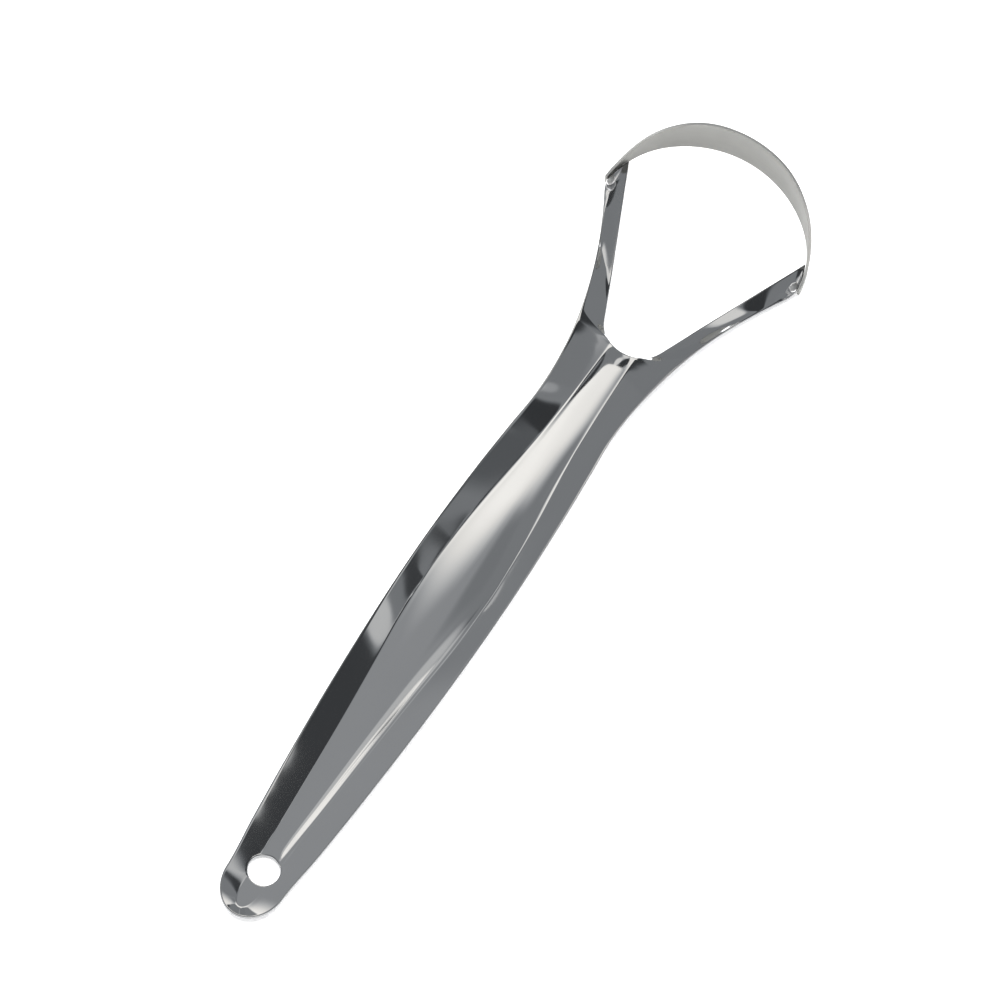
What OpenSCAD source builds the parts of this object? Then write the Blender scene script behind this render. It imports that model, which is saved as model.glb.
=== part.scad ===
// Tongue scraper: a pressed sheet handle with a fork, and a thin scraping band that stands on edge
// round the fork's mouth, joined to it by a bead of weld at each side. The band is tallest at its
// top and falls to the arms' ends.
// It lies as on a table. +Y runs from the handle's end to the loop, and +Z points up.

/* [Handle] */
// Length from the rounded end of the handle to the bottom of the fork
handle_l = 111.2; // [90:0.2:140]
// Greatest width across the flanges
handle_w = 16.4; // [13:0.2:20]
// Width at the neck, below the fork
neck_w = 13.7; // [11:0.2:17]
// Length from the neck to the bottom of the fork
neck_l = 14.8; // [12:0.2:18]
// Length of the rounded end
end_l = 6.1; // [4.5:0.1:7.5]
// Thickness of the pressed sheet
sheet_t = 0.8; // [0.6:0.05:1.1]
// Height of the long arch under the middle of the handle
arch_h = 1.6; // [0.6:0.1:3]

/* [Flanges and spine] */
// Rise of the flange edges over the feet that they stand on
flange_h = 1.6; // [0.8:0.1:2.4]
// Height of the rounded spine over the feet beside it
spine_h = 1; // [0.5:0.1:1.5]
// Greatest width of the spine
spine_w = 8.2; // [6:0.2:10]
// Width of the fillet where the flange leaves its foot
foot_fillet_w = 0.5; // [0.3:0.05:0.9]

/* [Hanging hole] */
// Diameter of the hanging hole
hole_d = 4.7; // [3.5:0.1:5.5]
// Distance from the rounded end to the centre of the hole
hole_inset = 8.5; // [7:0.1:11]

/* [Fork] */
// Radius of the rounded bottom of the fork
fork_r = 5.4; // [4:0.1:6.4]
// Angle of each inner edge of the fork from the centre line
fork_angle = 22.9; // [20:0.1:26]
// Distance from the fork's bottom to where the crease meets an inner edge
crease_in_l = 10; // [8:0.1:12]
// Distance from the fork's bottom to where the crease meets an outer edge
crease_out_l = 15.4; // [13.4:0.1:17.4]
// Height of an arm's outer end over the table
corner_z = 0.3; // [0.1:0.05:0.6]
// Height of an arm's inner tip over the table
tip_z = 1.3; // [0.9:0.1:1.8]
// Height that an arm's end curls up against the band
curl_h = 1.2; // [0.8:0.1:1.4]
// Length of arm that the curl takes up
curl_l = 1.7; // [1.2:0.1:2.2]

/* [Loop] */
// Outer width of the loop
loop_w = 35.4; // [31:0.2:39]
// Distance from the fork's bottom to the centre of the loop's rounded shoulders
loop_l = 23.4; // [22:0.1:26]
// Height of the band at the top of the loop
band_h = 10.3; // [9:0.1:12]
// Thickness of the band
band_t = 0.45; // [0.3:0.05:0.6]
// Angle that the band covers below the centres of its shoulders
band_wrap = 3.5; // [0:0.5:6]
// Angle by which the loop tilts up away from the handle
loop_tilt = 10.5; // [6:0.5:12]
// Gap between the band and the arms' ends, filled by the weld
lap_gap = 0.05; // [0.03:0.01:0.1]

/* [Weld beads] */
// Length of a bead along the joint
bead_l = 1.9; // [1.2:0.1:2.4]
// Width of a bead
bead_w = 1.3; // [0.8:0.1:1.5]

/* [Hidden] */
$fn = 96;

// Outline of the handle: shares of the length, then shares of half the greatest width
side_shares = [[0.045, 0.59], [0.13, 0.7], [0.24, 0.822], [0.365, 0.927], [0.49, 0.988],
               [0.6, 0.998], [0.72, 0.95], [0.8, 0.89]];
// Feet of the flanges: shares of the length, then shares of half the width there
foot_shares = [[0, 0.3], [0.12, 0.35], [0.26, 0.4], [0.38, 0.455], [0.5, 0.51], [0.68, 0.52],
               [0.85, 0.55], [1, 0.55]];
// Half width of the spine: shares of the length, then shares of half the greatest spine width
spine_side_shares = [[0, 0.3], [0.1, 0.44], [0.19, 0.6], [0.3, 0.78], [0.42, 0.95], [0.55, 1],
                     [0.68, 0.96], [0.76, 0.82], [0.86, 0.58], [0.93, 0.46], [1, 0.42]];
// Height of the spine: shares of the length, then shares of its greatest height
spine_top_shares = [[0, 0], [0.086, 0], [0.1, 0.3], [0.12, 0.46], [0.2, 0.66], [0.4, 0.85],
                    [0.7, 1], [0.88, 0.95], [0.96, 0.75], [0.99, 0.4], [1, 0.2]];
// Long arch: shares of the length, then shares of its height
arch_shares = [[0, 0.115], [0.16, 0.003], [0.35, 0.286], [0.55, 0.888], [0.7, 1], [0.85, 0.72],
               [0.97, 0.24], [1, 0.16]];
// Rise of the flange: shares of the length, then shares of its greatest rise
rise_shares = [[0, 0.62], [0.1, 0.72], [0.3, 0.9], [0.5, 1], [0.8, 1], [1, 1.05]];
// Height of the band: shares of the way from an end to the top of the loop, then shares of its height
band_rise_shares = [[0, 0.235], [0.06, 0.245], [0.12, 0.29], [0.2, 0.405], [0.35, 0.655],
                    [0.5, 0.848], [0.65, 0.965], [0.78, 1], [1, 1]];
// Radius of the loop's shoulders as a share of half its width, and the angle of the flatter top
// to each side of the middle
shoulder_share = 0.833;
top_turn = 41.4;

// Places along the handle
neck_y = handle_l - neck_l;
cap_y = end_l;
loop_y = handle_l + loop_l;
loop_r = shoulder_share * loop_w / 2;
loop_x = loop_w / 2 - loop_r;
inner_r = loop_r - band_t - lap_gap;
// The flatter top of the loop: its radius, and how far its centre lies below those of the shoulders
top_r = loop_r + loop_x / sin(top_turn);
top_drop = loop_x / tan(top_turn);
// Where the two straight inner edges of the fork would meet, and where they leave its round bottom
apex_y = handle_l + fork_r - fork_r / sin(fork_angle);
round_y = handle_l + fork_r - fork_r * sin(fork_angle);
// The outer corner of an arm, on the band's inner face
corner_turn = 1.6;
corner_x = loop_x + inner_r * cos(corner_turn);
corner_y = loop_y + inner_r * sin(corner_turn);

// Middle of the whole part along Y, which the origin takes
middle_y = (loop_y + (top_r - top_drop) * cos(loop_tilt)) / 2;

// Counts of stations along the sheet and of points across half of it
cap_n = 9;
body_n = 44;
round_n = 7;
web_n = 6;
arm_n = 9;
curl_n = 6;
spine_n = 6;
floor_n = 1;
flange_n = 5;
across_n = spine_n + floor_n + flange_n;

function mix(a, b, t) = a + (b - a) * t;
function clamp(t) = min(1, max(0, t));

// Slope of a table at one of its points, level at both ends
function slope(t, i) = i == 0 || i == len(t) - 1 ? 0
    : (t[i + 1][1] - t[i - 1][1]) / (t[i + 1][0] - t[i - 1][0]);
function span_of(t, x, i = 0) = i >= len(t) - 2 || x < t[i + 1][0] ? i : span_of(t, x, i + 1);
function hermite(y0, y1, m0, m1, u) =
    y0 * (2 * u ^ 3 - 3 * u ^ 2 + 1) + m0 * (u ^ 3 - 2 * u ^ 2 + u)
    + y1 * (3 * u ^ 2 - 2 * u ^ 3) + m1 * (u ^ 3 - u ^ 2);
// A smooth curve through the points of a table
function curve(t, x) =
    let (i = span_of(t, x), w = t[i + 1][0] - t[i][0], u = clamp((x - t[i][0]) / w))
    hermite(t[i][1], t[i + 1][1], slope(t, i) * w, slope(t, i + 1) * w, u);

// Half width of the outline at a distance from the end
side_all = concat(side_shares, [[neck_y / handle_l, neck_w / handle_w]]);
function flare(y) = mix(neck_w / 2, corner_x, ((y - neck_y) / (corner_y - neck_y)) ^ 2);
function half_w(y) = y > neck_y ? flare(y) : handle_w / 2 * curve(side_all, y / handle_l);

// Distance along an inner edge of the fork, from its apex to a circle about a shoulder's centre
function edge_run(r) =
    let (d = loop_y - apex_y, near = loop_x * sin(fork_angle) + d * cos(fork_angle))
    near + sqrt(near ^ 2 + r ^ 2 - d ^ 2 - loop_x ^ 2);
function on_edge(run) = [run * sin(fork_angle), apex_y + run * cos(fork_angle)];

// A rung runs across half of the sheet: [inner point, outer point, height of the inner edge,
// rise, distance of the foot from the centre line, the same for the spine's side,
// height of the spine, height of the curl].
function body_rung(inner, outer, y) =
    let (s = y / handle_l,
         spine = spine_w / 2 * curve(spine_side_shares, s),
         foot = half_w(max(y, cap_y)) * curve(foot_shares, s))
    [inner, outer, arch_h * curve(arch_shares, s), flange_h * curve(rise_shares, s),
     max(foot, spine + foot_fillet_w / 2), spine, spine_h * curve(spine_top_shares, s), 0];

cap_rungs = [for (i = [0 : cap_n - 1])
    let (a = 90 - 90 * i / cap_n)
    body_rung([0, cap_y - end_l * sin(a) / 2],
              [half_w(cap_y) * cos(a), cap_y - end_l * sin(a)], cap_y - end_l * sin(a) / 2)];

body_rungs = [for (i = [0 : body_n])
    let (y = mix(cap_y, handle_l, i / body_n))
    body_rung([0, y], [half_w(y), y], y)];

// The web between the fork's round bottom and the crease
foot_x = half_w(handle_l) * foot_shares[len(foot_shares) - 1][1];
last_rise = flange_h * rise_shares[len(rise_shares) - 1][1];
last_arch = arch_h * arch_shares[len(arch_shares) - 1][1];
last_spine = spine_w / 2 * spine_side_shares[len(spine_side_shares) - 1][1];
last_top = spine_h * spine_top_shares[len(spine_top_shares) - 1][1];
// How far the crease lies on the way from the handle's own height to that of the arm's end
crease_in_share = 0.3;
crease_out_share = 0.55;
crease_in = on_edge((handle_l + crease_in_l - apex_y) / cos(fork_angle));
crease_out = [half_w(handle_l + crease_out_l), handle_l + crease_out_l];
crease_in_z = mix(last_arch, tip_z, crease_in_share);
crease_out_z = mix(last_arch + last_rise, corner_z, crease_out_share);

function web_rung(inner, t) =
    let (y = mix(handle_l, crease_out[1], t),
         low = mix(last_arch, crease_in_z, t ^ 2),
         high = mix(last_arch + last_rise, crease_out_z, t ^ 2))
    [inner, [half_w(y), y], low, high - low, foot_x, last_spine, last_top, 0];

web_end_t = (round_y - handle_l) / crease_in_l;
round_rungs = [for (i = [1 : round_n])
    let (a = (90 - fork_angle) * i / round_n)
    web_rung([fork_r * sin(a), handle_l + fork_r * (1 - cos(a))], web_end_t * i / round_n)];
web_rungs = [for (i = [1 : web_n])
    let (t = mix(web_end_t, 1, i / web_n), y = handle_l + crease_in_l * t)
    web_rung(on_edge((y - apex_y) / cos(fork_angle)), t)];

// The arm beyond the crease, and its end that curls up against the band
arm_run = edge_run(inner_r - curl_l);
crease_run = (crease_in[1] - apex_y) / cos(fork_angle);
end_slope = 2 * (corner_x - neck_w / 2) / (corner_y - neck_y);
curl_back = curl_l / sin(atan(end_slope) + corner_turn) * cos(atan(end_slope));
tip_run = edge_run(inner_r);
function arm_rung(inner, y, t, curl) =
    [inner, [half_w(y), y], mix(crease_in_z, tip_z, t),
     mix(crease_out_z, corner_z, t) - mix(crease_in_z, tip_z, t), foot_x, last_spine, last_top,
     curl];
arm_rungs = [for (i = [1 : arm_n])
    let (u = i / arm_n,
         run = mix(crease_run, arm_run, u),
         y = mix(crease_out[1], corner_y - curl_back, u))
    arm_rung(on_edge(run), y, (run - crease_run) / (tip_run - crease_run), 0)];
// The curl is the first part of a quarter circle
curl_share = 0.96;
curl_rungs = [for (i = [1 : curl_n])
    let (u = i / curl_n,
         run = edge_run(inner_r - curl_l * (1 - u)),
         y = corner_y - curl_back * (1 - u),
         lift = curl_h * (1 - sqrt(1 - curl_share * u ^ 2)))
    arm_rung(on_edge(run), y, (run - crease_run) / (tip_run - crease_run), lift)];

rungs = concat(cap_rungs, body_rungs, round_rungs, web_rungs, arm_rungs, curl_rungs);
split_i = cap_n + body_n;
last_i = len(rungs) - 1;

// Share across a rung at a distance from the centre line
function share_at(r, x) = clamp((x - r[0][0]) / norm(r[1] - r[0]));

// Share across a rung of its k-th point: over the spine, over the floor, then up the flange
function across(r, k) =
    let (spine = max(share_at(r, r[5]), spine_n / across_n / 2),
         foot = max(share_at(r, r[4]), spine + floor_n / across_n / 2))
    k <= spine_n ? spine * k / spine_n
    : k <= spine_n + floor_n ? mix(spine, foot, (k - spine_n) / floor_n)
    : mix(foot, 1, (k - spine_n - floor_n) / flange_n);

// Height of the sheet's underside at a share v across a rung
function ramp(t, e) = (t + sqrt(t ^ 2 + e ^ 2) - e) / (2 - e);
function under(r, v) =
    let (f = share_at(r, r[4]),
         e = foot_fillet_w / norm(r[1] - r[0]),
         x = mix(r[0][0], r[1][0], v))
    r[2] + r[3] * clamp(ramp((v - f) / (1 - f), e)) + r[6] * (1 - min(1, x / r[5]) ^ 2)
    + r[7] * v;

// Place of a point on a rung. Beyond the body a rung bends with the circles about a shoulder's centre.
centre = [loop_x, loop_y];
function turn_of(p) = atan2(p[1] - loop_y, p[0] - loop_x);
function place(r, v, bend) =
    let (straight = mix(r[0], r[1], v),
         rad = mix(norm(r[0] - centre), norm(r[1] - centre), v),
         a = mix(turn_of(r[0]), turn_of(r[1]), v), round = centre + rad * [cos(a), sin(a)])
    mix(straight, round, bend);
function bend_at(i) = clamp((i - split_i) / (round_n + web_n));
// The arms' ends lean back with the band that they lie against
function lean_at(i) = tan(loop_tilt) * clamp((i - last_i + arm_n + curl_n) / arm_n);

// Points of one face of the sheet, lifted by h: for each rung the left half, then the right half
function face_points(h) = [for (i = [0 : last_i], side = [-1, 1], k = [0 : across_n])
    let (v = across(rungs[i], k),
         p = place(rungs[i], v, bend_at(i)),
         z = under(rungs[i], v) + h)
    [side * p[0], p[1] - z * lean_at(i), z]];

// Number of a point. Both halves share the first rung and the centre line up to the fork.
row = 2 * (across_n + 1);
function point_no(i, side, k) = i * row
    + (side == 1 && !(i == 0 || (k == 0 && i <= split_i)) ? across_n + 1 : 0) + k;
top_no = len(rungs) * row;

function quad(a, b, c, d) = [[a, b, c], [a, c, d]];
function flip(f, on) = on ? [f[2], f[1], f[0]] : f;

sheet_faces = [for (level = [0, 1], side = [0, 1], i = [0 : last_i - 1], k = [0 : across_n - 1],
                    f = quad(point_no(i, side, k), point_no(i + 1, side, k),
                             point_no(i + 1, side, k + 1), point_no(i, side, k + 1)))
    flip([for (n = f) n + level * top_no], level == side)];

// Walls along the outer edge, along the fork's inner edge and across each arm's end
function rim(side) = concat(
    [for (i = [0 : last_i]) point_no(i, side, across_n)],
    [for (k = [across_n - 1 : -1 : 0]) point_no(last_i, side, k)],
    [for (i = [last_i - 1 : -1 : split_i]) point_no(i, side, 0)]);
wall_faces = [for (side = [0, 1], n = [0 : len(rim(side)) - 2],
                   f = let (a = rim(side)[n], b = rim(side)[n + 1]) quad(a, b, b + top_no, a + top_no))
    flip(f, side == 0)];

module sheet() {
    polyhedron(points = concat(face_points(0), face_points(sheet_t)),
               faces = concat(sheet_faces, wall_faces), convexity = 8);
}

// Shifts the whole part so that the origin lies under its middle
module in_frame() {
    translate([0, -middle_y, 0]) children();
}

hole_overrun = sheet_t;
module handle() {
    color([0.72, 0.73, 0.75])
    in_frame()
    difference() {
        sheet();
        translate([0, hole_inset, -hole_overrun])
            cylinder(d = hole_d, h = sheet_t + flange_h + spine_h + 2 * hole_overrun);
    }
}

// The loop's own place: level with the shoulders' centres, tilted, with the band's ends on the table
loop_lift = loop_r * sin(band_wrap) * sin(loop_tilt);
module on_loop() {
    translate([0, loop_y, loop_lift]) rotate([loop_tilt, 0, 0]) children();
}

// Half of the band's plan from its end to the middle of the top, moved inwards by h
shoulder_n = 20;
top_n = 20;
function half_plan(h) = concat(
    [for (i = [0 : shoulder_n])
        let (a = mix(-band_wrap, 90 - top_turn, i / shoulder_n))
        [loop_x + (loop_r - h) * cos(a), (loop_r - h) * sin(a)]],
    [for (i = [1 : top_n])
        let (a = mix(90 - top_turn, 90, i / top_n))
        [(top_r - h) * cos(a), (top_r - h) * sin(a) - top_drop]]);
shoulder_run = loop_r * (90 - top_turn + band_wrap);
top_run = top_r * top_turn;
half_rise = concat(
    [for (i = [0 : shoulder_n]) shoulder_run * i / shoulder_n],
    [for (i = [1 : top_n]) shoulder_run + top_run * i / top_n]) / (shoulder_run + top_run);

// Four corners of the band's section at each station, from its right end round to its left one
station_n = 2 * (shoulder_n + top_n);
function station(i) = min(i, station_n - i);
outer_plan = half_plan(0);
inner_plan = half_plan(band_t);
band_points = [for (i = [0 : station_n],
                    h = [0, band_h * curve(band_rise_shares, half_rise[station(i)])],
                    p = [outer_plan[station(i)], inner_plan[station(i)]])
    [(i < station_n / 2 ? 1 : -1) * p[0], p[1], h]];
band_faces = concat(
    [[0, 1, 3, 2]],
    [for (i = [0 : station_n - 1], f = [[0, 1, 5, 4], [1, 3, 7, 5], [3, 2, 6, 7], [2, 0, 4, 6]],
          t = [[f[3], f[1], f[0]], [f[3], f[2], f[1]]])
        [for (n = t) n + 4 * i]],
    [[2, 3, 1, 0] + [for (n = [0 : 3]) 4 * station_n]]);

module scraping_band() {
    color([0.68, 0.68, 0.67])
    in_frame()
    on_loop()
    polyhedron(points = band_points, faces = band_faces, convexity = 8);
}

// A bead lies on top of an arm's end, against the band
bead_share = 0.88;
bead_rise = 0.26;
module bead() {
    r = rungs[last_i];
    p = place(r, bead_share, 1);
    a = turn_of(p);
    z = under(r, bead_share) + sheet_t;
    translate([p[0], p[1] - z * tan(loop_tilt), z + bead_rise * bead_w])
    rotate([loop_tilt, 0, 0])
    rotate([0, 0, a])
    translate([-bead_w / 2, 0, 0])
        scale([bead_w, bead_l, bead_w] / bead_l) sphere(d = bead_l, $fn = 24);
}

module weld_beads() {
    color([0.8, 0.8, 0.8])
    in_frame() {
        bead();
        mirror([1, 0, 0]) bead();
    }
}

handle();
scraping_band();
weld_beads();
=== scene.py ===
"""Tongue scraper: fine shapes, steel finishes and a small studio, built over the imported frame."""

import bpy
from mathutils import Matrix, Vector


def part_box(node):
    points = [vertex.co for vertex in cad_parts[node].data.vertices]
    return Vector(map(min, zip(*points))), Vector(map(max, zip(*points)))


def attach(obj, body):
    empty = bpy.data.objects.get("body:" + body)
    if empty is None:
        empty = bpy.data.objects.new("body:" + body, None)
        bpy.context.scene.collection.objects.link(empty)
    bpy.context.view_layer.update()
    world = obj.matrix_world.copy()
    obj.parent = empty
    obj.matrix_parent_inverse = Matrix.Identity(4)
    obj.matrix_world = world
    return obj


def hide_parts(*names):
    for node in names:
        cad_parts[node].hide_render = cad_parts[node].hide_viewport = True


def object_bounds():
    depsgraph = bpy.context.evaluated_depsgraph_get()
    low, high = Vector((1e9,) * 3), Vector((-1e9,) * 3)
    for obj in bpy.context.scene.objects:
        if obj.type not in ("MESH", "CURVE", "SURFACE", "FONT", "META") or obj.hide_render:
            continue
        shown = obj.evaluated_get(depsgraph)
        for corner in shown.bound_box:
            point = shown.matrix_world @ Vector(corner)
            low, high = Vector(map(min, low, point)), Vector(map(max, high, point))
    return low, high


bl_info = {
    "name": "Tongue Scraper",
    "version": (1, 0, 0),
    "blender": (4, 5, 0),
    "location": "View3D > Sidebar > Tongue Scraper",
    "description": "Builds a pressed steel tongue scraper: its handle, scraping band, weld beads and studio",
    "category": "Add Mesh",
}

from math import cos, pi, radians, sin, tan
from types import SimpleNamespace

import bmesh
import bpy
import numpy as np
from bpy.props import FloatProperty, FloatVectorProperty, PointerProperty
from mathutils import Matrix, Vector

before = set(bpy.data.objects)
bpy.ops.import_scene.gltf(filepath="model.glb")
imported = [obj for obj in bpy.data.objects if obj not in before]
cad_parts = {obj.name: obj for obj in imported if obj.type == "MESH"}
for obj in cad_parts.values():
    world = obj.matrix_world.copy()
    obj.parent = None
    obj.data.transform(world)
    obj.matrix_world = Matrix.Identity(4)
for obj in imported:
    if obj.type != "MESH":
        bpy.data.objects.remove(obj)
cad_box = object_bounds()

MM = 0.001
MATH = "ShaderNodeMath"


def linear(code):
    """Linear colour of an sRGB hex value."""
    parts = [int(code[i : i + 2], 16) / 255 for i in (1, 3, 5)]
    return [c / 12.92 if c <= 0.04045 else ((c + 0.055) / 1.055) ** 2.4 for c in parts]


def length(name, text, millimetres):
    return FloatProperty(name=name, description=text, default=millimetres * MM,
                         unit="LENGTH", precision=5)


def angle(name, text, degrees):
    return FloatProperty(name=name, description=text, default=radians(degrees),
                         subtype="ANGLE", unit="ROTATION")


def share_of(name, text, value):
    return FloatProperty(name=name, description=text, default=value, min=0, max=1, subtype="FACTOR")


def colour_of(name, text, code):
    return FloatVectorProperty(name=name, description=text, default=linear(code),
                               subtype="COLOR", min=0, max=1)


# Shares of the handle's length, then shares of the size that each table shapes
SIDE = [[0.045, 0.59], [0.13, 0.7], [0.24, 0.822], [0.365, 0.927], [0.49, 0.988], [0.6, 0.998],
        [0.72, 0.95], [0.8, 0.89]]
FOOT = [[0, 0.28], [0.12, 0.32], [0.2, 0.37], [0.3, 0.43], [0.4, 0.51], [0.5, 0.6], [0.62, 0.6],
        [0.7, 0.55], [0.785, 0.45], [0.86, 0.38], [0.93, 0.32], [1, 0.27]]
SPINE_SIDE = [[0, 0.2], [0.1, 0.26], [0.2, 0.42], [0.3, 0.56], [0.4, 0.72], [0.5, 0.92], [0.58, 1],
              [0.68, 0.86], [0.76, 0.67], [0.86, 0.53], [0.93, 0.47], [1, 0.43]]
SPINE_TOP = [[0, 0], [0.086, 0], [0.1, 0.3], [0.12, 0.46], [0.2, 0.62], [0.4, 0.85], [0.7, 1],
             [0.8, 0.78], [0.88, 0.56], [0.95, 0.52], [0.98, 0.46], [0.993, 0.28], [1, 0.08]]
ARCH = [[0, 0.115], [0.16, 0.003], [0.35, 0.286], [0.55, 0.888], [0.7, 1], [0.85, 0.72],
        [0.97, 0.24], [1, 0.16]]
RISE = [[0, 0.4], [0.1, 0.5], [0.3, 0.88], [0.5, 1], [0.7, 1.08], [0.85, 1.08], [1, 0.8]]
# Shares of the way from an end of the band to its top, then shares of its height
BAND_RISE = [[0, 0.235], [0.06, 0.245], [0.12, 0.29], [0.2, 0.405], [0.35, 0.655], [0.5, 0.848],
             [0.65, 0.965], [0.78, 1], [1, 1]]


class HandleSizes(bpy.types.PropertyGroup):
    """Sizes of the pressed handle."""

    handle_l: length("Length", "From the rounded end to the bottom of the fork", 111.2)
    handle_w: length("Width", "Greatest width across the flanges", 16.4)
    neck_w: length("Neck width", "Width at the neck, below the fork", 13.7)
    neck_l: length("Neck length", "From the neck to the bottom of the fork", 14.8)
    end_l: length("End length", "Length of the rounded end", 6.1)
    sheet_t: length("Sheet", "Thickness of the pressed sheet", 0.8)
    arch_h: length("Arch", "Height of the long arch under the handle", 1.6)
    flange_h: length("Flange rise", "Rise of the flange edges over their feet", 2.3)
    spine_h: length("Spine height", "Height of the rounded spine", 0.8)
    spine_w: length("Spine width", "Greatest width of the spine", 10.0)
    foot_fillet_w: length("Foot fillet", "Width of the fillet at the flange's foot", 0.12)
    hole_d: length("Hole", "Diameter of the hanging hole", 4.7)
    hole_inset: length("Hole inset", "From the rounded end to the centre of the hole", 8.5)
    fork_r: length("Fork radius", "Radius of the rounded bottom of the fork", 5.4)
    fork_angle: angle("Fork angle", "Angle of each inner edge from the centre line", 22.9)
    crease_in_l: length("Inner crease", "From the fork's bottom to the crease, on the inner edge", 10.0)
    crease_out_l: length("Outer crease", "From the fork's bottom to the crease, on the outer edge", 15.4)
    corner_z: length("Corner height", "Height of an arm's outer end over the table", 0.3)
    tip_z: length("Tip height", "Height of an arm's inner tip over the table", 1.3)
    curl_h: length("Curl height", "Height that an arm's end curls up", 1.2)
    curl_l: length("Curl length", "Length of arm that the curl takes up", 1.7)
    corner_turn: angle("Corner turn", "Turn of an arm's outer corner about a shoulder's centre", 1.6)
    corner_r: length("Corner radius", "Rounding of an arm's outer corner, seen from above", 1.2)
    rim_r: length("Rim radius", "Rounding of the tumbled edges", 0.24)


class LoopSizes(bpy.types.PropertyGroup):
    """Sizes of the scraping band and of its weld beads."""

    loop_w: length("Loop width", "Outer width of the loop", 35.4)
    loop_l: length("Loop length", "From the fork's bottom to the centres of the shoulders", 23.4)
    shoulder_share: share_of("Shoulder share", "Radius of the shoulders against half the width", 0.833)
    top_turn: angle("Top turn", "Angle of the flatter top to each side of the middle", 41.4)
    band_h: length("Band height", "Height of the band at the top of the loop", 10.3)
    band_t: length("Band thickness", "Thickness of the band", 0.45)
    band_wrap: angle("Band wrap", "Angle that the band covers below the shoulders' centres", -4.0)
    loop_tilt: angle("Loop tilt", "Angle by which the loop tilts up", 10.5)
    loop_lift: length("Loop lift", "Height of the shoulders' centres over the table", 0.164)
    lap_gap: length("Lap gap", "Gap between the band and the arms' ends", 0.05)
    band_rim: length("Band rim", "Rounding of the band's two long edges", 0.1)
    bead_l: length("Bead length", "Length of a weld bead along the joint", 1.9)
    bead_w: length("Bead width", "Width of a weld bead", 1.3)
    bead_flat: share_of("Bead flatness", "Thickness of a weld bead against its width", 0.7)
    bead_turn: angle("Bead turn", "Turn of a weld bead against the handle's length", 3.0)
    bead_ripple: length("Bead ripple", "Depth of the ripples on a weld bead of one millimetre", 0.08)


class Finishes(bpy.types.PropertyGroup):
    """Colours of the steels, the floor and the backdrop."""

    polished: colour_of("Polished steel", "Mirror-polished stainless sheet", "#DFE0E2")
    satin: colour_of("Satin steel", "Satin stainless strip", "#8D8D8A")
    weld: colour_of("Weld metal", "Ground and buffed weld metal", "#F4F4F4")
    floor: colour_of("Floor", "Matt white table top", "#F7F7F7")
    backdrop: colour_of("Backdrop", "White behind the table", "#FFFFFF")


class StudioSizes(bpy.types.PropertyGroup):
    """Camera and lamps."""

    turn: angle("Turn", "Camera's turn round the object", 18.53)
    rise: angle("Rise", "Camera's height over the table as an angle", 63.64)
    roll: angle("Roll", "Camera's roll", -14.12)
    distance: length("Distance", "Camera's distance from the object", 900)
    aim_y: length("Aim", "Point on the centre line that the camera is set out from", 3.402)
    pixel_scale: FloatProperty(name="Scale", default=6.63,
                               description="Pixels for a millimetre at the aim, in a square of 1000")
    aim_across: share_of("Across", "Share of the picture's width at which the aim lies", 0.51091)
    aim_down: share_of("Down", "Share of the picture's height at which the aim lies", 0.51447)
    tent_radius: length("Tent", "Radius of the light tent", 350)
    lamp_power: FloatProperty(name="Lamp", description="Power of the overhead soft lamp", default=9.0,
                              unit="POWER")
    lamp_size: length("Lamp size", "Width of the overhead soft lamp", 700)


def millimetres(group):
    """The group's sizes, lengths in millimetres."""
    out = {}
    for name, prop in group.bl_rna.properties.items():
        if prop.type == "FLOAT" and not prop.is_array:
            out[name] = getattr(group, name) * (1 / MM if prop.unit == "LENGTH" else 1)
    return out


def shape_sizes(scene):
    """Named sizes in millimetres, and the places that follow from them."""
    s = SimpleNamespace(**millimetres(scene.scraper_handle), **millimetres(scene.scraper_loop))
    s.neck_y = s.handle_l - s.neck_l
    s.cap_y = s.end_l
    s.loop_y = s.handle_l + s.loop_l
    s.loop_r = s.shoulder_share * s.loop_w / 2
    s.loop_x = s.loop_w / 2 - s.loop_r
    s.inner_r = s.loop_r - s.band_t - s.lap_gap
    s.top_r = s.loop_r + s.loop_x / sin(s.top_turn)
    s.top_drop = s.loop_x / tan(s.top_turn)
    s.apex_y = s.handle_l + s.fork_r - s.fork_r / sin(s.fork_angle)
    s.round_y = s.handle_l + s.fork_r - s.fork_r * sin(s.fork_angle)
    s.corner_x = s.loop_x + s.inner_r * cos(s.corner_turn)
    s.corner_y = s.loop_y + s.inner_r * sin(s.corner_turn)
    s.middle_y = (s.loop_y + (s.top_r - s.top_drop) * cos(s.loop_tilt)) / 2
    return s


def mix(a, b, t):
    return a + (b - a) * t


def share(table, x, blur=0.012):
    """A smooth curve through a table's points, softened so that mirrored light runs on without kinks."""
    t = np.array(table, float)
    slope = np.zeros(len(t))
    slope[1:-1] = (t[2:, 1] - t[:-2, 1]) / (t[2:, 0] - t[:-2, 0])
    fine = np.linspace(t[0, 0], t[-1, 0], 2001)
    i = np.clip(np.searchsorted(t[:, 0], fine, side="right") - 1, 0, len(t) - 2)
    w = t[i + 1, 0] - t[i, 0]
    u = (fine - t[i, 0]) / w
    y = (t[i, 1] * (2 * u**3 - 3 * u**2 + 1) + slope[i] * w * (u**3 - 2 * u**2 + u)
         + t[i + 1, 1] * (3 * u**2 - 2 * u**3) + slope[i + 1] * w * (u**3 - u**2))
    step = fine[1] - fine[0]
    reach = int(3 * blur / step) + 1
    kernel = np.exp(-0.5 * (np.arange(-reach, reach + 1) * step / blur) ** 2)
    y = np.convolve(np.pad(y, reach, mode="edge"), kernel / kernel.sum(), mode="valid")
    return np.interp(x, fine, y)


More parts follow.
